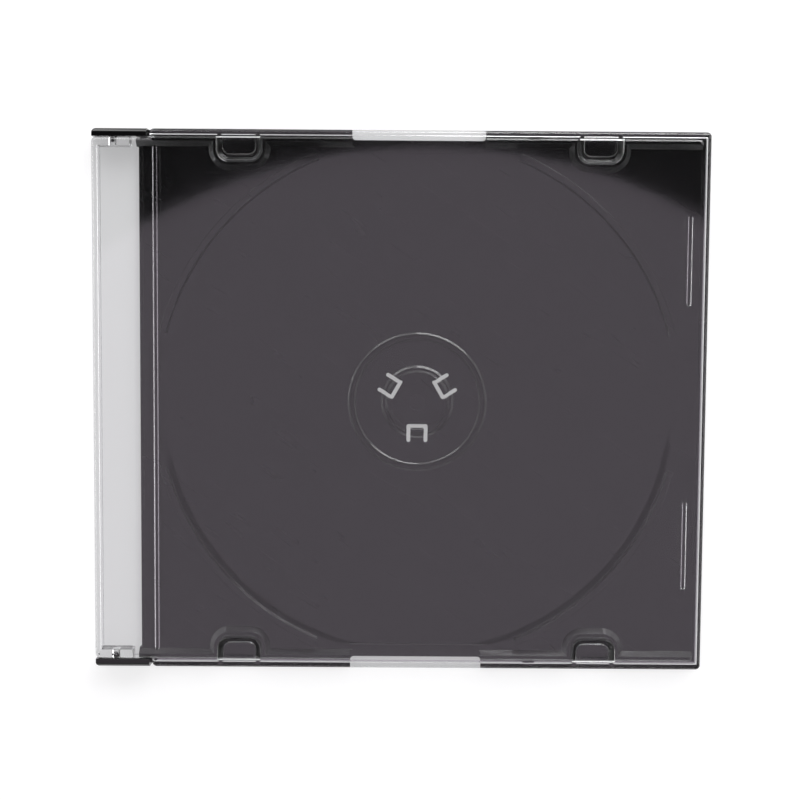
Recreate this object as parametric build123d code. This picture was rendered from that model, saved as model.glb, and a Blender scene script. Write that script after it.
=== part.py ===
from build123d import *
import os
from math import hypot

# Slim jewel case for one disc, closed and lying on its tray. Lengths are in millimetres.
# X runs from the spine to the opening edge, Y along the spine, Z up from the table.
# Places along X are given as a distance from the spine's outer face, and places along Y
# as an inset from the long outer edges, because the case is the same on both long sides.

# Closed case
case_length = 142.0
case_width = 125.0
case_height = 5.2
case_corner = 1.1

# Disc that the case holds
disc_diameter = 120.0
disc_bore = 15.0
disc_from_spine = 75.1

# Tray floor and the raised land round the disc
tray_setback = 0.45
floor_thickness = 1.1
land_step = 0.4
land_setback = 0.9
underside_edge = 0.25

# Disc recess and the arc ribs round it
recess_play = 0.2
recess_slope = 1.2
recess_half_chord = 57.5
arc_rib_play = 0.4
arc_rib_foot = 1.92
arc_rib_crest = 1.32
arc_rib_height = 1.1
arc_rib_from = 15.0
arc_rib_to = 67.5

# Rims along the long sides of the tray
rim_height = 1.3
rim_crest = 1.1
rim_slope = 1.1
rim_edge_run = 0.45
rim_edge_drop = 0.27
rim_end_round = 0.9
rim_run_out = 9.0

# Lid mouldings
lid_plate = 1.1
lid_wall = 1.15
lid_edge_wall = 0.8
wall_play = 0.4
wall_lift = 0.15
lid_edge_round = 1.0
lid_inner_round = 0.3

# Grip notches in the tray's long edges
grip_width = 30.8
grip_depth = 2.1
grip_corner = 0.8

# Booklet tabs on the lid's long walls, the openings in the cover plate over them, and the
# pockets in the tray that clear them
tab_from_spine = (33.7, 116.8)
tab_width = 7.8
tab_reach = 5.65
tab_thickness = 0.8
tab_corner = 1.7
tab_edge = 0.2
booklet_gap = 0.85
pocket_side_play = 1.0
pocket_tip_play = 1.3
pocket_corner = 2.5
pocket_slope = 0.8
opening_inset = 2.0
opening_edge = 0.2

# Ribs under the lid that stop the booklet
stop_rib_height = 0.7
stop_rib_width = 1.05
stop_rib_edge = 0.2
spine_rib_from_spine = 14.5
spine_rib_inset = 3.9
edge_rib_from_edge = 4.4
edge_rib_length = 20.8
edge_rib_centre = 33.1
gate_mark_radius = 1.0
gate_mark_depth = 0.12

# Hinge: arms and pins on the tray, side walls and sockets on the lid
pivot_from_spine = 4.7
pivot_height = 2.6
arm_start = 0.2
arm_end = 12.75
arm_thickness = 1.87
arm_round = 1.1
root_play = 1.15
arm_root_width = 3.95
pin_radius = 1.0
pin_length = 1.2
pin_lead = 0.4
socket_play = 0.07
hinge_side_play = 0.1
hinge_sweep_play = 0.15
hinge_wall = 1.95
hinge_wall_end = 8.8
wall_end_round = 1.1
spine_wall = 1.2
spine_lift = 0.1
spine_round = 1.1
spine_foot_round = 0.8

# Latch: a nub on each tray rim stands in a notch in the lid wall
latch_from_spine = 101.75
latch_nub_foot = 4.4
latch_nub_tip = 1.8
latch_nub_reach = 0.5
latch_nub_top = 2.3
latch_notch_width = 2.8
latch_notch_top = 2.9

# Hub and the ring round it that the disc lies on
seat_radius = 15.3
seat_width = 1.9
shoulder_width = 0.55
shoulder_slope = 0.55
hub_play = 0.08
hub_wall = 1.07
hub_height = 1.6
hub_lead = 0.45
hub_dimple_radius = 2.0
hub_dimple_depth = 0.15

# Spring fingers cut in the hub
finger_angles = (30.0, 150.0, 270.0)
finger_width = 3.1
finger_tip = 6.15
finger_root = 9.5
finger_slot = 0.9
finger_slot_round = 0.43
barb_height = 1.7
barb_nose_height = 1.4
barb_rise = 0.25
barb_reach = 0.18

# Heights worked out from the sizes above
land_top = floor_thickness + land_step
rim_top = land_top + rim_height
plate_bottom = case_height - lid_plate
wall_bottom = floor_thickness + wall_lift
tab_top = plate_bottom - booklet_gap
tab_bottom = tab_top - tab_thickness

# Places worked out from the sizes above
half_width = case_width / 2
spine_x = -case_length / 2
edge_x = case_length / 2
hub_x = spine_x + disc_from_spine
pivot_x = spine_x + pivot_from_spine
rim_inset = lid_wall + wall_play
hinge_wall_inset = arm_thickness + hinge_side_play
hub_radius = disc_bore / 2 - hub_play
arm_sweep = hypot(arm_end - pivot_from_spine, max(pivot_height, case_height - pivot_height))
lid_wall_start = pivot_from_spine + arm_sweep + hinge_sweep_play
arm_root_start = hinge_wall_end + root_play
tray_start = arm_root_start + tray_setback
past = 1.0


def slab(x_low, x_high, y_low, y_high, z_low, z_high):
    """Box given by its lowest and highest corners."""
    size = Box(x_high - x_low, y_high - y_low, z_high - z_low)
    return Pos((x_low + x_high) / 2, (y_low + y_high) / 2, (z_low + z_high) / 2) * size


def side_slab(start, end, inset_low, inset_high, z_low, z_high):
    """Box beside the +Y long edge, placed from the spine and from that edge."""
    y_low = half_width - inset_high
    y_high = half_width - inset_low
    return slab(spine_x + start, spine_x + end, y_low, y_high, z_low, z_high)


def both_sides(shape):
    """The shape and its mirror image at the other long side."""
    return shape + mirror(shape, about=Plane.XZ)


def rectangle(x_low, x_high, y_low, y_high):
    """Flat rectangle given by its lowest and highest corners."""
    outline = Rectangle(x_high - x_low, y_high - y_low)
    return Pos((x_low + x_high) / 2, (y_low + y_high) / 2) * outline


def raised(sketch, z_low, z_high):
    """The sketch as a prism between two heights."""
    return Pos(0, 0, z_low) * extrude(sketch, z_high - z_low)


def turned(*points):
    """Solid of revolution about the hub's axis from radius and height pairs."""
    profile = Plane.XZ * Polygon(*points, align=None)
    return revolve(profile, Axis.Z)


def tray_floor():
    """Floor plate with rounded corners and a softened lower edge."""
    outline = rectangle(spine_x + tray_start, edge_x, -half_width, half_width)
    outline = fillet(outline.vertices().group_by(Axis.X)[-1], case_corner)
    plate = raised(outline, 0, floor_thickness)
    return chamfer(plate.faces().sort_by(Axis.Z)[0].edges(), underside_edge)


def tray_land():
    """Raised surface inside the lid's walls, level with the ring that the disc lies on."""
    y_high = half_width - rim_inset
    outline = rectangle(spine_x + tray_start + land_setback, edge_x - rim_inset, -y_high, y_high)
    return raised(outline, 0, land_top)


def pocket_outline(centre):
    """Pocket in the tray round one booklet tab, open towards the long edge."""
    half = tab_width / 2 + pocket_side_play
    tip = half_width - tab_reach - pocket_tip_play
    x_middle = spine_x + centre
    outline = rectangle(x_middle - half, x_middle + half, tip, half_width + past)
    return fillet(outline.vertices().group_by(Axis.Y)[0], pocket_corner)


def rim_outline(start, end):
    """Plan of the rims' outer faces: two long edges that bend round the tab pockets."""
    y_high = half_width - rim_inset
    outline = rectangle(spine_x + start, spine_x + end, -y_high, y_high)
    for centre in tab_from_spine:
        pocket = pocket_outline(centre)
        outline -= pocket
        outline -= mirror(pocket, about=Plane.XZ)
    return outline


def pocket_space(centre):
    """Space round one booklet tab: walls that slope out from the land and a bevel at the top."""
    outline = pocket_outline(centre)
    foot = offset(outline, -pocket_slope, kind=Kind.INTERSECTION)
    crest = offset(outline, rim_edge_run, kind=Kind.INTERSECTION)
    bevel_foot = Pos(0, 0, rim_top - rim_edge_drop) * outline
    walls = loft([Pos(0, 0, land_top) * foot, bevel_foot], ruled=True)
    bevel = loft([bevel_foot, Pos(0, 0, rim_top) * crest], ruled=True)
    return walls + bevel + raised(crest, rim_top, rim_top + past)


def tray_rims():
    """Rims that stand inside the lid's walls, with a sloping inner side."""
    y_high = half_width - rim_inset
    outline = rectangle(spine_x + arm_root_start, edge_x - rim_inset, -y_high, y_high)
    body = raised(outline, 0, rim_top)
    body = fillet(body.edges().filter_by(Axis.Z), rim_end_round)
    crest = body.faces().sort_by(Axis.Z)[-1]
    body = chamfer(crest.edges(), rim_edge_run, rim_edge_drop, reference=crest)
    for centre in tab_from_spine:
        body -= both_sides(pocket_space(centre))

    # The space between the rims runs out past both ends of the tray.
    inner = rim_outline(arm_root_start - rim_run_out, case_length + rim_run_out)
    foot = offset(inner, -(rim_crest + rim_slope), kind=Kind.INTERSECTION)
    crest = offset(inner, -rim_crest, kind=Kind.INTERSECTION)
    between = loft([Pos(0, 0, land_top) * foot, Pos(0, 0, rim_top) * crest], ruled=True)
    above = raised(crest, rim_top, rim_top + past)
    below = raised(foot, -past, land_top)
    return body - between - above - below


def grip_outline(depth):
    """Plan of one grip notch in the tray's long edge."""
    x_low = hub_x - grip_width / 2
    x_high = hub_x + grip_width / 2
    outline = rectangle(x_low, x_high, half_width - depth, half_width + past)
    return fillet(outline.vertices().group_by(Axis.Y)[0], grip_corner)


def disc_recess():
    """Shallow round recess under the disc, cut short where the grip notches lie."""
    radius = disc_diameter / 2 + recess_play
    cone = turned(
        (0, floor_thickness),
        (radius - recess_slope, floor_thickness),
        (radius, land_top),
        (radius, rim_top + past),
        (0, rim_top + past),
    )
    return cone & slab(-radius, radius, -recess_half_chord, recess_half_chord, 0, case_height)


def arc_ribs():
    """Four ribs round the disc's edge, one in each quarter."""
    inner = disc_diameter / 2 + arc_rib_play
    taper = (arc_rib_foot - arc_rib_crest) / 2
    top = land_top + arc_rib_height
    section = Polygon(
        (inner, floor_thickness),
        (inner + arc_rib_foot, floor_thickness),
        (inner + arc_rib_foot, land_top),
        (inner + arc_rib_foot - taper, top),
        (inner + taper, top),
        (inner, land_top),
        align=None,
    )
    span = arc_rib_to - arc_rib_from
    rib = revolve(Plane.XZ * section, Axis.Z, span)
    starts = (arc_rib_from, 180 - arc_rib_to, 180 + arc_rib_from, 360 - arc_rib_to)
    return [Rot(0, 0, start) * rib for start in starts]


def disc_seat():
    """Rounded ring and a shoulder at the hub's foot, which the disc's clear middle lies on."""
    inner = (seat_radius - seat_width / 2, floor_thickness)
    outer = (seat_radius + seat_width / 2, floor_thickness)
    crest = ThreePointArc(inner, (seat_radius, land_top), outer)
    ring = revolve(Plane.XZ * make_face(crest + Line(outer, inner)), Axis.Z)
    shoulder = turned(
        (hub_radius - hub_wall, floor_thickness),
        (hub_radius + shoulder_width + shoulder_slope, floor_thickness),
        (hub_radius + shoulder_width, land_top),
        (hub_radius - hub_wall, land_top),
    )
    return ring + shoulder


def hub_dimple():
    """Shallow round mark in the floor inside the hub."""
    return Pos(0, 0, floor_thickness) * Cylinder(hub_dimple_radius, 2 * hub_dimple_depth)


def finger_frame(shape):
    """The shape at each of the three fingers, from one that points along +X."""
    return [Rot(0, 0, angle) * shape for angle in finger_angles]


def hub_ring():
    """Upright ring that fills the disc's bore, with a barb on each finger."""
    foot = floor_thickness
    inner = hub_radius - hub_wall
    top = land_top + hub_height
    ring = turned((inner, foot), (hub_radius, foot), (hub_radius, top), (inner, top))
    ring = chamfer(ring.edges().group_by(Axis.Z)[-1].sort_by(SortBy.RADIUS)[-1], hub_lead)
    nose = land_top + barb_nose_height
    barb_top = land_top + barb_height
    barb = turned(
        (inner, foot),
        (hub_radius, foot),
        (hub_radius, nose - barb_rise),
        (hub_radius + barb_reach, nose),
        (hub_radius - hub_lead, barb_top),
        (inner, barb_top),
    )
    finger = slab(inner / 2, finger_root, -finger_width / 2, finger_width / 2, 0, case_height)
    for cut in finger_frame(finger):
        ring += barb & cut
    return ring


def finger_slots():
    """U-shaped slots through the floor that free the three fingers."""
    half = finger_width / 2 + finger_slot
    tip = finger_tip - finger_slot
    outer = rectangle(tip, finger_root, -half, half)
    outer = fillet(outer.vertices().group_by(Axis.X)[0], finger_slot / 2)
    finger = rectangle(finger_tip, finger_root + past, -finger_width / 2, finger_width / 2)
    slot = outer - finger
    ends = slot.vertices().group_by(Axis.X)[-1]
    slot = fillet(ends, finger_slot_round)
    return finger_frame(raised(slot, -past, case_height))


def hinge_arm():
    """Arm beside the +Y long edge, with its root on the tray and the pin it carries."""
    arm = side_slab(arm_start, arm_end, 0, arm_thickness, 0, case_height)
    outer_edges = arm.edges().filter_by(Axis.X).group_by(Axis.Y)[-1]
    outer_corner = arm.edges().filter_by(Axis.Z).group_by(Axis.Y)[-1].sort_by(Axis.X)[0]
    arm = fillet(outer_edges + [outer_corner], arm_round)
    root = side_slab(arm_root_start, arm_end, 0, arm_root_width, 0, land_top)
    pin_axis = Plane(
        origin=(pivot_x, half_width - arm_thickness, pivot_height), z_dir=(0, -1, 0)
    )
    pin = extrude(pin_axis * Circle(pin_radius), pin_length)
    pin = chamfer(pin.faces().sort_by(Axis.Y)[0].edges(), pin_lead)
    return arm + root + pin


def latch_nub():
    """Wedge on the +Y rim that stands in the lid wall's notch."""
    foot_y = half_width - rim_inset - rim_edge_run
    face_y = half_width - rim_inset
    x_middle = spine_x + latch_from_spine
    plan = Polygon(
        (x_middle - latch_nub_foot / 2, foot_y),
        (x_middle + latch_nub_foot / 2, foot_y),
        (x_middle + latch_nub_foot / 2, face_y),
        (x_middle + latch_nub_tip / 2, face_y + latch_nub_reach),
        (x_middle - latch_nub_tip / 2, face_y + latch_nub_reach),
        (x_middle - latch_nub_foot / 2, face_y),
        align=None,
    )
    return raised(plan, floor_thickness / 2, latch_nub_top)


def base_tray():
    """The black moulding."""
    to_hub = Pos(hub_x, 0, 0)
    tray = tray_floor() + tray_land() - to_hub * disc_recess()
    tray += tray_rims()
    for rib in arc_ribs():
        tray += to_hub * rib
    tray += to_hub * disc_seat()
    tray -= to_hub * hub_dimple()
    tray += to_hub * hub_ring()
    tray += both_sides(hinge_arm())
    tray += both_sides(latch_nub())

    rim_reach = rim_inset + rim_crest + rim_slope
    grip = raised(grip_outline(grip_depth), -past, case_height)
    grip += raised(grip_outline(rim_reach), land_top, case_height)
    tray -= both_sides(grip)
    for slot in finger_slots():
        tray -= to_hub * slot
    return tray


def plate_outline():
    """Plan of the lid, stepped in beside the hinge arms."""
    outline = rectangle(spine_x, edge_x, -half_width, half_width)
    outline = fillet(outline.vertices().group_by(Axis.X)[-1], case_corner)
    step = rectangle(
        spine_x - past,
        spine_x + lid_wall_start,
        half_width - hinge_wall_inset,
        half_width + past,
    )
    outline = outline - step - mirror(step, about=Plane.XZ)
    outline = fillet(outline.vertices().group_by(Axis.X)[0], spine_round)
    by_side = outline.vertices().group_by(Axis.Y)
    wall_starts = [side.sort_by(Axis.X)[0] for side in (by_side[0], by_side[-1])]
    return fillet(wall_starts, wall_end_round)


def lid_shell():
    """Cover plate with the long walls and the opening wall under it."""
    outside = raised(plate_outline(), spine_lift, case_height)
    outside = fillet(outside.faces().sort_by(Axis.Z)[-1].edges(), lid_edge_round)
    outside = fillet(outside.edges().group_by(Axis.Z)[0].sort_by(Axis.X)[0], spine_foot_round)
    inside_y = half_width - lid_wall
    space = slab(
        spine_x + spine_wall, edge_x - lid_edge_wall, -inside_y, inside_y, -past, plate_bottom
    )
    space = fillet(space.edges().group_by(Axis.Z)[-1], lid_inner_round)
    under_walls = slab(
        spine_x + hinge_wall_end, edge_x + past, -half_width, half_width, -past, wall_bottom
    )
    behind_arms = slab(
        spine_x + hinge_wall_end,
        spine_x + lid_wall_start,
        -half_width,
        half_width,
        -past,
        plate_bottom,
    )
    return outside - space - under_walls - behind_arms


def hinge_side_wall():
    """Short wall inside the +Y arm, with the socket that the pin turns in."""
    inset_high = hinge_wall_inset + hinge_wall
    wall = side_slab(
        spine_wall / 2, hinge_wall_end, hinge_wall_inset, inset_high, spine_lift, plate_bottom
    )
    low_edges = wall.edges().filter_by(Axis.Y).group_by(Axis.Z)[0]
    return fillet(low_edges.sort_by(Axis.X)[-1], spine_round)


def pin_sockets():
    """Round holes through both hinge side walls, on one axis."""
    socket_axis = Plane(origin=(pivot_x, 0, pivot_height), z_dir=(0, 1, 0))
    return extrude(socket_axis * Circle(pin_radius + socket_play), half_width, both=True)


def booklet_tab(centre):
    """Tab under the lid that holds the booklet's edge, at the +Y wall."""
    x_middle = spine_x + centre
    outline = rectangle(
        x_middle - tab_width / 2,
        x_middle + tab_width / 2,
        half_width - tab_reach,
        half_width - lid_wall / 2,
    )
    outline = fillet(outline.vertices().group_by(Axis.Y)[0], tab_corner)
    tab = raised(outline, tab_bottom, tab_top)
    rim_edges = tab.faces().sort_by(Axis.Z)[-1].edges() - tab.edges().group_by(Axis.Y)[-1]
    return chamfer(rim_edges, tab_edge)


def plate_opening(centre):
    """Opening in the cover plate over the tab at the +Y wall."""
    strip = rectangle(spine_x, edge_x, 0, half_width - opening_inset)
    return raised(pocket_outline(centre) & strip, tab_top, case_height + past)


def tab_slots(centre):
    """Slots in the +Y wall, one at each side of a tab."""
    slot_end = tab_width / 2 + pocket_side_play
    left = side_slab(
        centre - slot_end, centre - tab_width / 2, -past, lid_wall + past, -past, plate_bottom
    )
    right = side_slab(
        centre + tab_width / 2, centre + slot_end, -past, lid_wall + past, -past, plate_bottom
    )
    return left + right


def stop_rib(length):
    """Rib under the cover plate, along Y, with round ends, centred on its own middle."""
    outline = SlotOverall(length, stop_rib_width, rotation=90)
    rib = raised(outline, plate_bottom - stop_rib_height, plate_bottom + lid_plate / 2)
    return chamfer(rib.faces().sort_by(Axis.Z)[0].edges(), stop_rib_edge)


def stop_ribs():
    """Long rib beside the spine and two short ribs at the opening edge."""
    spine_rib = stop_rib(case_width - 2 * spine_rib_inset)
    spine_rib = Pos(spine_x + spine_rib_from_spine, 0, 0) * spine_rib
    edge_rib = stop_rib(edge_rib_length)
    edge_rib = Pos(edge_x - edge_rib_from_edge, edge_rib_centre, 0) * edge_rib
    return spine_rib + both_sides(edge_rib)


def gate_mark():
    """Round trace under the plate where the plastic was fed in."""
    place = Pos(edge_x - edge_rib_from_edge, 0, plate_bottom)
    return place * Cylinder(gate_mark_radius, 2 * gate_mark_depth)


def latch_notch():
    """Notch in the +Y wall for the tray's latch nub, open at the wall's foot."""
    return side_slab(
        latch_from_spine - latch_notch_width / 2,
        latch_from_spine + latch_notch_width / 2,
        -past,
        lid_wall + past,
        -past,
        latch_notch_top,
    )


def lid():
    """The clear moulding."""
    cover = lid_shell() + both_sides(hinge_side_wall())
    for centre in tab_from_spine:
        cover -= both_sides(plate_opening(centre))
    openings = cover.faces().sort_by(Axis.Z)[-1].inner_wires()
    cover = chamfer([edge for wire in openings for edge in wire.edges()], opening_edge)
    for centre in tab_from_spine:
        cover -= both_sides(tab_slots(centre))
        cover += both_sides(booklet_tab(centre))
    cover -= both_sides(latch_notch())
    cover -= gate_mark()
    cover += stop_ribs()
    return cover - pin_sockets()


def main():
    os.makedirs("parts", exist_ok=True)
    export_step(base_tray(), "parts/base_tray.step")
    export_step(lid(), "parts/lid.step")


main()
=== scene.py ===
"""Finishes a packed slim disc case in moulded polystyrene and lights it in a small studio."""

import math

import bpy
import numpy as np
from bpy.props import FloatProperty, FloatVectorProperty, PointerProperty
from bpy.types import Operator, Panel, PropertyGroup
from mathutils import Euler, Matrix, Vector


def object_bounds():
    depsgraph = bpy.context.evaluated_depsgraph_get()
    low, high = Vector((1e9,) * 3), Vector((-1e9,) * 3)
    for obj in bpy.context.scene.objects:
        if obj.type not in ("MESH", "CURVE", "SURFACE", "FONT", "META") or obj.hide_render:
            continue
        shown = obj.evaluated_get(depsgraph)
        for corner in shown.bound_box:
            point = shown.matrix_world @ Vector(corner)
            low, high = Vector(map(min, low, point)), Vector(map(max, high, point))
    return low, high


bl_info = {
    "name": "Slim Disc Case",
    "version": (1, 0, 0),
    "blender": (4, 5, 0),
    "location": "View3D > Sidebar > Disc Case",
    "description": "Gives a slim disc case its moulded plastics, its studio and its camera",
    "category": "Object",
}

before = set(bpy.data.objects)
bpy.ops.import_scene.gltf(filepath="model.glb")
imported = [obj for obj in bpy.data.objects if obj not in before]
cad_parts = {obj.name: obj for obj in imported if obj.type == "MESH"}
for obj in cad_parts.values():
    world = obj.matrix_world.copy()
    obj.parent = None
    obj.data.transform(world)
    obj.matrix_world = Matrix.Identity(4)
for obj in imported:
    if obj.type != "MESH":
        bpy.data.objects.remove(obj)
CASE_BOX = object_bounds()
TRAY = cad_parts["base_tray"]
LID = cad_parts["lid"]

# Colour sockets of a mix node: its two inputs and its output
MIX_LOW = 6
MIX_HIGH = 7
MIX_RESULT = 2

# Value about which Blender's noise lies evenly
NOISE_MIDDLE = 0.5

# Flow clouds: their noise is drawn out along Y, and most of it lies between two values
FLOW_SCALE = 30.0
FLOW_STRETCH = (1.0, 0.4, 1.0)
FLOW_RANGE = (0.3, 0.7)

# Hairline scratches: their noise is turned, drawn out along one direction and cut to a width.
# They show where a second noise is high, and fade in between the two values of its fade.
SCRATCH_SCALE = 60.0
SCRATCH_TURN = (0.0, 0.0, 0.6)
SCRATCH_STRETCH = (0.06, 1.0, 1.0)
SCRATCH_WIDTH = 0.003
PATCH_SCALE = 140.0
PATCH_FADE = (0.52, 0.62)

# Noise scales of each plastic's flow clouds and scratches
TRAY_SCALES = (28.0, 90.0)
LID_SCALES = (22.0, 70.0)

# Roughness and colour of each plastic where its flow clouds are highest, as multiples of the
# ones that are set
PIGMENT_CLOUDING = 1.15
PIGMENT_PALENESS = 1.4
LID_CLOUDING = 1.3
LID_TINT_KEPT = 0.99

# The floor is a square sheet of paper with faint fibres. A gap keeps it clear of the case's
# flat underside.
FLOOR_SIZE = 6.0
FLOOR_POINTS = 13
FLOOR_GAP = 0.00005
FIBRE_SCALE = 900.0
FIBRE_SHADE = 0.98

# The walls fade into the ceiling over this much of a direction's Z above and below their top,
# and get paler towards the windows as its Y goes from the first value to the second
CEILING_FADE = 0.1
WINDOW_SIDE = (-0.7, 0.2)

# Every window and strip light stands this far from the case. Sizes are widths and heights.
WINDOW_DISTANCE = 1.2
MAIN_WINDOW = (1.0, 0.75)
SIDE_WINDOW = (0.6, 0.6)

# Low strip lights stand on the three sides without a window and light the lid's edges. Each
# has its direction in degrees and its share of the strip lights' brightness.
STRIP_LIGHT = (1.2, 0.25)
STRIP_SIDES = {"right": (0.0, 0.25), "left": (180.0, 1.0), "near": (270.0, 0.6)}

# Nearest and farthest that the camera sees, over its distance from the table
CAMERA_CLIP = (0.1, 100.0)


# Shader tree helpers

def add_node(tree, kind, values=None, **settings):
    """A new node of that kind, with its settings made and its sockets set or linked by name."""
    node = tree.nodes.new(kind)
    for name, value in settings.items():
        setattr(node, name, value)
    for name, value in (values or {}).items():
        if isinstance(value, bpy.types.NodeSocket):
            tree.links.new(value, node.inputs[name])
        else:
            node.inputs[name].default_value = value
    return node


def sum_of(tree, first, *others):
    """A value socket that adds up the given ones and stays at most 1."""
    total = first
    for other in others:
        step = add_node(
            tree, "ShaderNodeMath", {0: total, 1: other}, operation="ADD", use_clamp=True
        )
        total = step.outputs[0]
    return total


def new_material(name):
    """A material with an empty shader tree, and its output node."""
    material = bpy.data.materials.new(name)
    material.use_nodes = True
    material.node_tree.nodes.clear()
    output = add_node(material.node_tree, "ShaderNodeOutputMaterial")
    return material, material.node_tree, output


def blend_colours(tree, share, low, high):
    """A colour socket that goes from low to high with the share. Each is a colour or a socket."""
    mix = add_node(tree, "ShaderNodeMix", data_type="RGBA")
    tree.links.new(share, mix.inputs["Factor"])
    for index, colour in ((MIX_LOW, low), (MIX_HIGH, high)):
        if isinstance(colour, bpy.types.NodeSocket):
            tree.links.new(colour, mix.inputs[index])
        else:
            mix.inputs[index].default_value = (*colour, 1.0)
    return mix.outputs[MIX_RESULT]


def ramp(tree, value, start, end, low, high):
    """A value socket that goes from low to high as the given one goes from start to end."""
    spread = {"Value": value, "From Min": start, "From Max": end, "To Min": low, "To Max": high}
    return add_node(tree, "ShaderNodeMapRange", spread).outputs["Result"]


# Shader groups

def hairline_group():
    """Fine straight scratches: thin bands where a stretched noise crosses its middle value.

    Noise that is drawn out along one direction makes long streaks. Its distance from the
    middle value is near nothing only along thin lines, and a second noise breaks those up.
    """
    group = bpy.data.node_groups.new("hairline_scratches", "ShaderNodeTree")
    scale = group.interface.new_socket("Scale", in_out="INPUT", socket_type="NodeSocketFloat")
    scale.default_value = SCRATCH_SCALE
    turn = group.interface.new_socket("Turn", in_out="INPUT", socket_type="NodeSocketVector")
    turn.default_value = SCRATCH_TURN
    width = group.interface.new_socket("Width", in_out="INPUT", socket_type="NodeSocketFloat")
    width.default_value = SCRATCH_WIDTH
    group.interface.new_socket("Scratch", in_out="OUTPUT", socket_type="NodeSocketFloat")

    source = add_node(group, "NodeGroupInput")
    place = add_node(group, "ShaderNodeTexCoord").outputs["Object"]
    turned = add_node(
        group, "ShaderNodeMapping", {"Vector": place, "Rotation": source.outputs["Turn"]}
    )
    drawn = add_node(
        group, "ShaderNodeMapping", {"Vector": turned.outputs[0], "Scale": SCRATCH_STRETCH}
    )
    streaks = add_node(
        group,
        "ShaderNodeTexNoise",
        {"Vector": drawn.outputs[0], "Scale": source.outputs["Scale"], "Detail": 3.0},
    )
    offset = add_node(
        group, "ShaderNodeMath", {0: streaks.outputs[0], 1: NOISE_MIDDLE}, operation="SUBTRACT"
    )
    distance = add_node(group, "ShaderNodeMath", {0: offset.outputs[0]}, operation="ABSOLUTE")
    line = ramp(group, distance.outputs[0], 0.0, source.outputs["Width"], 1.0, 0.0)
    patches = add_node(
        group,
        "ShaderNodeTexNoise",
        {"Vector": turned.outputs[0], "Scale": PATCH_SCALE, "Detail": 1.0},
    )
    kept = ramp(group, patches.outputs[0], *PATCH_FADE, 0.0, 1.0)
    broken = add_node(group, "ShaderNodeMath", {0: line, 1: kept}, operation="MULTIPLY")
    add_node(group, "NodeGroupOutput", {"Scratch": broken.outputs[0]})
    return group


def flow_group():
    """Slow drift of a moulded surface: soft clouds drawn out across the case."""
    group = bpy.data.node_groups.new("mould_flow", "ShaderNodeTree")
    scale = group.interface.new_socket("Scale", in_out="INPUT", socket_type="NodeSocketFloat")
    scale.default_value = FLOW_SCALE
    group.interface.new_socket("Flow", in_out="OUTPUT", socket_type="NodeSocketFloat")
    source = add_node(group, "NodeGroupInput")
    place = add_node(group, "ShaderNodeTexCoord").outputs["Object"]
    drawn = add_node(group, "ShaderNodeMapping", {"Vector": place, "Scale": FLOW_STRETCH})
    clouds = add_node(
        group,
        "ShaderNodeTexNoise",
        {"Vector": drawn.outputs[0], "Scale": source.outputs["Scale"], "Detail": 2.0},
    )
    add_node(group, "NodeGroupOutput", {"Flow": clouds.outputs[0]})
    return group


def place_group(tree, name, make, scale):
    """Output socket of the group of that name in a tree. The group is made on its first use."""
    group = bpy.data.node_groups.get(name) or make()
    return add_node(tree, "ShaderNodeGroup", {"Scale": scale}, node_tree=group).outputs[0]


def surface_marks(tree, flow_scale, scratch_scale):
    """Value sockets of a plastic's flow clouds and of its hairline scratches."""
    flow = place_group(tree, "mould_flow", flow_group, flow_scale)
    scratch = place_group(tree, "hairline_scratches", hairline_group, scratch_scale)
    return flow, scratch


# Plastics

def black_polystyrene(settings):
    """Opaque glossy black, with slow flow marks, faint hairlines and edges that catch light.

    The polished skin is a clear coat, and the pigment under it scatters what little it sends
    back. A hairline scratch takes some of the skin's gloss away.
    """
    material, tree, output = new_material("tray_polystyrene")
    flow, scratch = surface_marks(tree, *TRAY_SCALES)
    pigment = settings.pigment_roughness
    clouded = ramp(tree, flow, *FLOW_RANGE, pigment, pigment * PIGMENT_CLOUDING)
    gloss = ramp(tree, scratch, 0.0, 1.0, 1.0, 1.0 - settings.scratch_loss)
    colour = blend_colours(tree, flow, settings.colour, settings.colour * PIGMENT_PALENESS)
    edges = add_node(tree, "ShaderNodeBevel", {"Radius": settings.edge_radius}, samples=4)
    surface = add_node(
        tree,
        "ShaderNodeBsdfPrincipled",
        {
            "Base Color": colour,
            "Roughness": clouded,
            "Specular IOR Level": settings.pigment_gloss,
            "Coat Weight": gloss,
            "Coat Roughness": settings.roughness,
            "Coat IOR": settings.ior,
            "Normal": edges.outputs[0],
            "Coat Normal": edges.outputs[0],
        },
    )
    tree.links.new(surface.outputs[0], output.inputs["Surface"])
    return material


def clear_polystyrene(settings):
    """Clear plastic that bends light, and lets lamps' light through to what lies under it."""
    material, tree, output = new_material("lid_polystyrene")
    flow, scratch = surface_marks(tree, *LID_SCALES)
    polished = settings.roughness
    clouded = ramp(tree, flow, *FLOW_RANGE, polished, polished * LID_CLOUDING)
    roughness = add_node(
        tree,
        "ShaderNodeMath",
        {0: scratch, 1: settings.scratch_roughness, 2: clouded},
        operation="MULTIPLY_ADD",
    ).outputs[0]
    tint = blend_colours(tree, flow, settings.tint, settings.tint * LID_TINT_KEPT)
    solid = add_node(
        tree,
        "ShaderNodeBsdfPrincipled",
        {
            "Base Color": tint,
            "Roughness": roughness,
            "IOR": settings.ior,
            "Transmission Weight": 1.0,
        },
    )
    lamp_way = add_node(
        tree, "ShaderNodeBsdfTransparent", {"Color": (*settings.lamp_tint, 1.0)}
    )
    rays = add_node(tree, "ShaderNodeLightPath")
    through = sum_of(tree, rays.outputs["Is Shadow Ray"], rays.outputs["Is Diffuse Ray"])
    surface = add_node(tree, "ShaderNodeMixShader", {"Fac": through})
    tree.links.new(solid.outputs[0], surface.inputs[1])
    tree.links.new(lamp_way.outputs[0], surface.inputs[2])
    tree.links.new(surface.outputs[0], output.inputs["Surface"])
    return material


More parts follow.
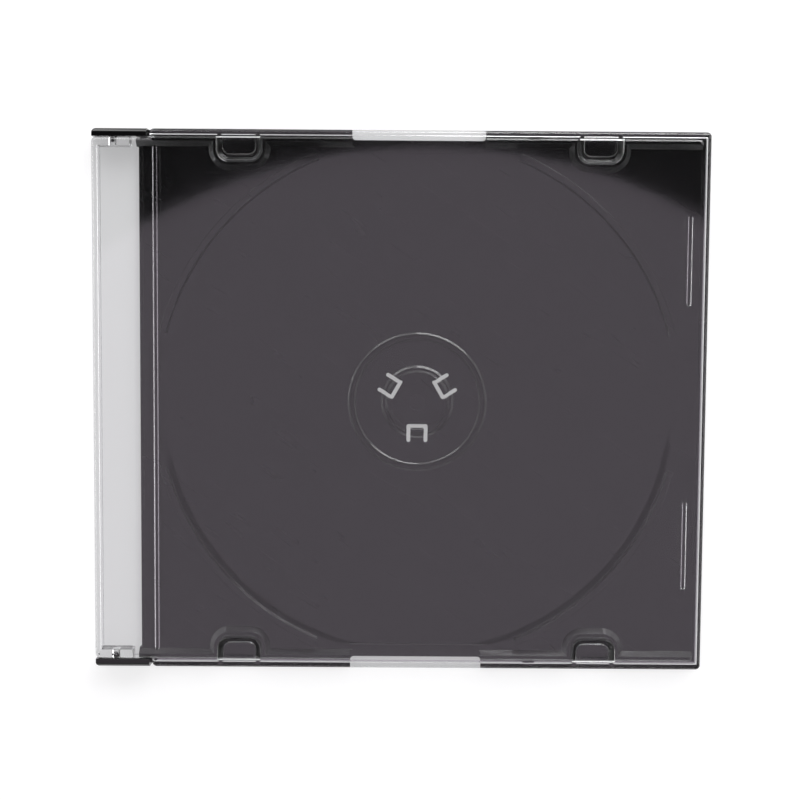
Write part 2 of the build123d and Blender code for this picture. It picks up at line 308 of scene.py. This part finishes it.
def put_on(part, material):
    """Gives every material slot of the part this material."""
    for index in range(len(part.material_slots)):
        part.material_slots[index].material = material


# Studio

def sheet_mesh(name, size, level, count):
    """Flat square sheet at a level, with count points along each side."""
    along = np.linspace(-size / 2, size / 2, count)
    x, y = np.meshgrid(along, along)
    points = np.stack([x, y, np.full_like(x, level)], axis=-1).reshape(-1, 3)
    index = np.arange(count * count).reshape(count, count)
    corners = (index[:-1, :-1], index[:-1, 1:], index[1:, 1:], index[1:, :-1])
    faces = np.stack([corner.ravel() for corner in corners], axis=-1)
    mesh = bpy.data.meshes.new(name)
    mesh.from_pydata(points.tolist(), [], faces.tolist())
    return mesh


def floor_material(settings):
    """Pale matt paper that shows white to the camera and keeps the case's shadow.

    The camera sees it with light of its own added, and gloss and clear plastic see it with less.
    """
    material, tree, output = new_material("floor_paper")
    place = add_node(tree, "ShaderNodeTexCoord").outputs["Object"]
    fibres = add_node(
        tree, "ShaderNodeTexNoise", {"Vector": place, "Scale": FIBRE_SCALE, "Detail": 2.0}
    )
    colour = blend_colours(
        tree, fibres.outputs[0], settings.floor_colour, settings.floor_colour * FIBRE_SHADE
    )
    paper = add_node(tree, "ShaderNodeBsdfDiffuse", {"Color": colour})
    rays = add_node(tree, "ShaderNodeLightPath")
    indirect = sum_of(tree, rays.outputs["Is Glossy Ray"], rays.outputs["Is Transmission Ray"])
    mirrored = add_node(
        tree, "ShaderNodeMath", {0: indirect, 1: settings.floor_glow}, operation="MULTIPLY"
    )
    strength = add_node(
        tree,
        "ShaderNodeMath",
        {0: rays.outputs["Is Camera Ray"], 1: settings.floor_lift, 2: mirrored.outputs[0]},
        operation="MULTIPLY_ADD",
    )
    lift = add_node(tree, "ShaderNodeEmission", {"Strength": strength.outputs[0]})
    both = add_node(tree, "ShaderNodeAddShader")
    tree.links.new(paper.outputs[0], both.inputs[0])
    tree.links.new(lift.outputs[0], both.inputs[1])
    tree.links.new(both.outputs[0], output.inputs["Surface"])
    return material


def lay_floor(settings):
    """The studio's floor, a flat sheet just under the case."""
    level = CASE_BOX[0].z - FLOOR_GAP
    mesh = sheet_mesh("studio_floor", FLOOR_SIZE, level, FLOOR_POINTS)
    floor = bpy.data.objects.new("studio_floor", mesh)
    floor.data.materials.append(floor_material(settings))
    bpy.context.scene.collection.objects.link(floor)


def light_world(settings):
    """Walls up to a height, paler on the windows' side, and a dark ceiling above them.

    The camera sees plain white instead.
    """
    world = bpy.data.worlds.new("studio_walls")
    bpy.context.scene.world = world
    world.use_nodes = True
    tree = world.node_tree
    tree.nodes.clear()
    direction = add_node(tree, "ShaderNodeTexCoord").outputs["Generated"]
    parts = add_node(tree, "ShaderNodeSeparateXYZ", {"Vector": direction})
    wall_top = math.sin(settings.wall_height)
    fade = (wall_top - CEILING_FADE, wall_top + CEILING_FADE)
    ceiling = ramp(tree, parts.outputs["Z"], *fade, 0.0, 1.0)
    window_side = ramp(tree, parts.outputs["Y"], *WINDOW_SIDE, 0.0, 1.0)
    walls = blend_colours(tree, window_side, settings.far_wall_colour, settings.wall_colour)
    bounced = blend_colours(tree, ceiling, walls, settings.ceiling_colour)
    rays = add_node(tree, "ShaderNodeLightPath")
    shown = blend_colours(tree, rays.outputs["Is Camera Ray"], bounced, (1.0, 1.0, 1.0))
    room = add_node(tree, "ShaderNodeBackground", {"Color": shown})
    output = add_node(tree, "ShaderNodeOutputWorld")
    tree.links.new(room.outputs[0], output.inputs["Surface"])


def hang_lamp(name, place, aim, diameter, power):
    """A round area lamp at place, turned to face the aim point."""
    lamp = bpy.data.lights.new(name, "AREA")
    lamp.shape = "DISK"
    lamp.size = diameter
    lamp.energy = power
    holder = bpy.data.objects.new(name, lamp)
    holder.location = place
    holder.rotation_euler = (Vector(aim) - Vector(place)).to_track_quat("-Z", "Y").to_euler()
    bpy.context.scene.collection.objects.link(holder)
    return lamp


def hang_window(name, azimuth, elevation, size, radiance):
    """A rectangular area lamp that faces the case from an azimuth and an elevation.

    An area lamp of power P and area A shows a radiance of P / (pi A).
    """
    level = WINDOW_DISTANCE * math.cos(elevation)
    place = Vector(
        (
            level * math.cos(azimuth),
            level * math.sin(azimuth),
            WINDOW_DISTANCE * math.sin(elevation),
        )
    )
    width, height = size
    lamp = hang_lamp(name, place, (0.0, 0.0, 0.0), width, radiance * math.pi * width * height)
    lamp.shape = "RECTANGLE"
    lamp.size_y = height


def aim_camera(settings):
    """A long lens above the case, tilted a little from straight down."""
    data = bpy.data.cameras.new("photo_camera")
    data.lens = settings.lens
    data.clip_start = settings.distance * CAMERA_CLIP[0]
    data.clip_end = settings.distance * CAMERA_CLIP[1]
    camera = bpy.data.objects.new("photo_camera", data)
    turn = Euler((settings.tilt, settings.lean, settings.roll), "YXZ").to_matrix().inverted()
    camera.rotation_euler = turn.to_euler()
    camera.location = Vector(settings.target) + turn @ Vector((0.0, 0.0, settings.distance))
    bpy.context.scene.collection.objects.link(camera)
    bpy.context.scene.camera = camera


# Settings

class TraySettings(PropertyGroup):
    """What a user would change about the black tray."""

    colour: FloatVectorProperty(
        name="Colour",
        description="Colour of the black polystyrene",
        subtype="COLOR",
        default=(0.0004, 0.0004, 0.00045),
        min=0.0,
        max=1.0,
    )
    roughness: FloatProperty(
        name="Roughness",
        description="Roughness of the polished mould's finish",
        default=0.05,
        min=0.0,
        max=1.0,
    )
    pigment_roughness: FloatProperty(
        name="Pigment Roughness",
        description="Roughness of the pigment under the polished skin",
        default=0.285,
        min=0.0,
        max=1.0,
    )
    pigment_gloss: FloatProperty(
        name="Pigment Gloss",
        description="Share of light that the pigment under the skin sends back",
        default=0.22,
        min=0.0,
        max=1.0,
    )
    scratch_loss: FloatProperty(
        name="Scratch Loss",
        description="Share of the gloss that a hairline scratch takes away",
        default=0.1,
        min=0.0,
        max=1.0,
    )
    edge_radius: FloatProperty(
        name="Edge Radius",
        description="Rounding of the moulding's edges, as light shows it",
        unit="LENGTH",
        default=0.00012,
        min=0.0,
        precision=5,
    )
    ior: FloatProperty(
        name="IOR", description="Index of refraction of polystyrene", default=1.59, min=1.0
    )


class LidSettings(PropertyGroup):
    """What a user would change about the clear lid."""

    tint: FloatVectorProperty(
        name="Tint",
        description="Colour that light takes on its way through the plastic",
        subtype="COLOR",
        default=(0.95, 0.955, 0.96),
        min=0.0,
        max=1.0,
    )
    lamp_tint: FloatVectorProperty(
        name="Lamp Tint",
        description="Share of a lamp's light that each face of the lid lets through",
        subtype="COLOR",
        default=(0.93, 0.93, 0.93),
        min=0.0,
        max=1.0,
    )
    roughness: FloatProperty(
        name="Roughness",
        description="Roughness of the polished mould's finish",
        default=0.04,
        min=0.0,
        max=1.0,
    )
    scratch_roughness: FloatProperty(
        name="Scratch Roughness",
        description="Roughness that a hairline scratch adds",
        default=0.03,
        min=0.0,
        max=1.0,
    )
    ior: FloatProperty(
        name="IOR", description="Index of refraction of polystyrene", default=1.59, min=1.0
    )


class StudioSettings(PropertyGroup):
    """What a user would change about the floor, the walls and the lamps."""

    floor_colour: FloatVectorProperty(
        name="Floor Colour",
        description="Colour of the paper under the case",
        subtype="COLOR",
        default=(0.4, 0.4, 0.405),
        min=0.0,
        max=1.0,
    )
    floor_lift: FloatProperty(
        name="Floor Lift",
        description="White that the floor adds for the camera, where 1 is white",
        default=0.7,
        min=0.0,
        max=1.0,
    )
    floor_glow: FloatProperty(
        name="Floor Glow",
        description="White that the floor adds in gloss and through the lid, where 1 is white",
        default=0.42,
        min=0.0,
        max=1.0,
    )
    wall_height: FloatProperty(
        name="Wall Height",
        description="Angle above the horizon at which the pale walls end",
        subtype="ANGLE",
        default=math.radians(48.0),
    )
    wall_colour: FloatVectorProperty(
        name="Wall Colour",
        description="Light that the walls give on the windows' side",
        subtype="COLOR",
        default=(1.0, 1.0, 1.0),
        min=0.0,
        max=1.0,
    )
    far_wall_colour: FloatVectorProperty(
        name="Far Wall Colour",
        description="Light that the walls give on the side away from the windows",
        subtype="COLOR",
        default=(0.3, 0.3, 0.3),
        min=0.0,
        max=1.0,
    )
    ceiling_colour: FloatVectorProperty(
        name="Ceiling Colour",
        description="Light that the ceiling gives",
        subtype="COLOR",
        default=(0.004, 0.004, 0.004),
        min=0.0,
        max=1.0,
    )
    softbox_place: FloatVectorProperty(
        name="Softbox Place",
        description="Centre of the round softbox that the lid mirrors",
        subtype="TRANSLATION",
        default=(0.0262, -0.3096, 0.8),
    )
    softbox_diameter: FloatProperty(
        name="Softbox Diameter",
        description="Diameter of the round softbox",
        unit="LENGTH",
        default=0.907,
        min=0.0,
    )
    softbox_power: FloatProperty(
        name="Softbox Power",
        description="Power of the round softbox",
        subtype="POWER",
        default=0.92,
        min=0.0,
    )
    softbox_colour: FloatVectorProperty(
        name="Softbox Colour",
        description="Colour of the round softbox's light",
        subtype="COLOR",
        default=(0.98, 0.87, 1.0),
        min=0.0,
        max=1.0,
    )
    window_azimuth: FloatProperty(
        name="Window Azimuth",
        description="Direction of the main window, from the opening edge towards the long side",
        subtype="ANGLE",
        default=math.radians(66.0),
    )
    window_elevation: FloatProperty(
        name="Window Elevation",
        description="Height of the main window's middle above the horizon",
        subtype="ANGLE",
        default=math.radians(24.0),
    )
    window_radiance: FloatProperty(
        name="Window Radiance",
        description="Brightness of the main window, where 1 is white paper",
        default=5.5,
        min=0.0,
    )
    side_window_azimuth: FloatProperty(
        name="Side Window Azimuth",
        description="Direction of the second window",
        subtype="ANGLE",
        default=math.radians(118.0),
    )
    side_window_radiance: FloatProperty(
        name="Side Window Radiance",
        description="Brightness of the second window, where 1 is white paper",
        default=2.5,
        min=0.0,
    )
    strip_light_elevation: FloatProperty(
        name="Strip Light Elevation",
        description="Height of the three low strip lights' middle above the horizon",
        subtype="ANGLE",
        default=math.radians(10.0),
    )
    strip_light_radiance: FloatProperty(
        name="Strip Light Radiance",
        description="Brightness of the three low strip lights, where 1 is white paper",
        default=3.0,
        min=0.0,
    )


class CameraSettings(PropertyGroup):
    """What a user would change about the camera."""

    lens: FloatProperty(
        name="Lens",
        description="Focal length on a 36 mm sensor",
        unit="CAMERA",
        default=63.2,
        min=1.0,
    )
    distance: FloatProperty(
        name="Distance",
        description="From the camera to the table",
        unit="LENGTH",
        default=0.33,
        min=0.01,
    )
    target: FloatVectorProperty(
        name="Target",
        description="Point on the table in the middle of the picture",
        subtype="TRANSLATION",
        default=(0.00008, 0.00028, 0.0),
        precision=5,
    )
    tilt: FloatProperty(
        name="Tilt",
        description="Turn about the picture's width",
        subtype="ANGLE",
        default=math.radians(4.13),
    )
    lean: FloatProperty(
        name="Lean",
        description="Turn about the picture's height",
        subtype="ANGLE",
        default=math.radians(0.12),
    )
    roll: FloatProperty(
        name="Roll",
        description="Turn of the picture in its own plane",
        subtype="ANGLE",
        default=math.radians(-0.4),
    )


# Operators

class DISCCASE_OT_finish_tray(Operator):
    """Give the tray its glossy black polystyrene"""

    bl_idname = "disccase.finish_tray"
    bl_label = "Finish Tray"

    def execute(self, context):
        put_on(TRAY, black_polystyrene(context.scene.case_tray))
        return {"FINISHED"}


class DISCCASE_OT_finish_lid(Operator):
    """Give the lid its clear polystyrene"""

    bl_idname = "disccase.finish_lid"
    bl_label = "Finish Lid"

    def execute(self, context):
        put_on(LID, clear_polystyrene(context.scene.case_lid))
        return {"FINISHED"}


class DISCCASE_OT_build_studio(Operator):
    """Lay the floor, light the walls and hang the lamps"""

    bl_idname = "disccase.build_studio"
    bl_label = "Build Studio"

    def execute(self, context):
        settings = context.scene.case_studio
        lay_floor(settings)
        light_world(settings)
        place = Vector(settings.softbox_place)
        below = Vector((place.x, place.y, 0.0))
        softbox = hang_lamp(
            "round_softbox", place, below, settings.softbox_diameter, settings.softbox_power
        )
        softbox.color = settings.softbox_colour
        hang_window(
            "main_window",
            settings.window_azimuth,
            settings.window_elevation,
            MAIN_WINDOW,
            settings.window_radiance,
        )
        hang_window(
            "side_window",
            settings.side_window_azimuth,
            settings.window_elevation,
            SIDE_WINDOW,
            settings.side_window_radiance,
        )
        for side, (azimuth, share) in STRIP_SIDES.items():
            hang_window(
                f"{side}_strip_light",
                math.radians(azimuth),
                settings.strip_light_elevation,
                STRIP_LIGHT,
                settings.strip_light_radiance * share,
            )
        return {"FINISHED"}


class DISCCASE_OT_place_camera(Operator):
    """Stand the camera above the closed case"""

    bl_idname = "disccase.place_camera"
    bl_label = "Place Camera"

    def execute(self, context):
        aim_camera(context.scene.case_camera)
        return {"FINISHED"}


class DISCCASE_PT_sidebar(Panel):
    """Buttons and settings for the disc case."""

    bl_label = "Slim Disc Case"
    bl_idname = "DISCCASE_PT_sidebar"
    bl_space_type = "VIEW_3D"
    bl_region_type = "UI"
    bl_category = "Disc Case"

    def draw(self, context):
        for operator in OPERATORS:
            self.layout.operator(operator.bl_idname)
        for name in SETTINGS:
            settings = getattr(context.scene, name)
            box = self.layout.box()
            for key in settings.bl_rna.properties.keys():
                if key not in ("name", "rna_type"):
                    box.prop(settings, key)


SETTINGS = {
    "case_tray": TraySettings,
    "case_lid": LidSettings,
    "case_studio": StudioSettings,
    "case_camera": CameraSettings,
}

OPERATORS = (
    DISCCASE_OT_finish_tray,
    DISCCASE_OT_finish_lid,
    DISCCASE_OT_build_studio,
    DISCCASE_OT_place_camera,
)

CLASSES = (*SETTINGS.values(), *OPERATORS, DISCCASE_PT_sidebar)


def register():
    """Registers the classes and hangs the settings on the scene."""
    for cls in CLASSES:
        bpy.utils.register_class(cls)
    for name, group in SETTINGS.items():
        setattr(bpy.types.Scene, name, PointerProperty(type=group))


def unregister():
    """Takes the settings off the scene and the classes out of Blender."""
    for name in SETTINGS:
        delattr(bpy.types.Scene, name)
    for cls in reversed(CLASSES):
        bpy.utils.unregister_class(cls)


def main():
    """Runs every operator in order."""
    register()
    bpy.context.scene.view_settings.view_transform = "Standard"
    bpy.ops.disccase.finish_tray()
    bpy.ops.disccase.finish_lid()
    bpy.ops.disccase.build_studio()
    bpy.ops.disccase.place_camera()


if __name__ == "__main__":
    main()
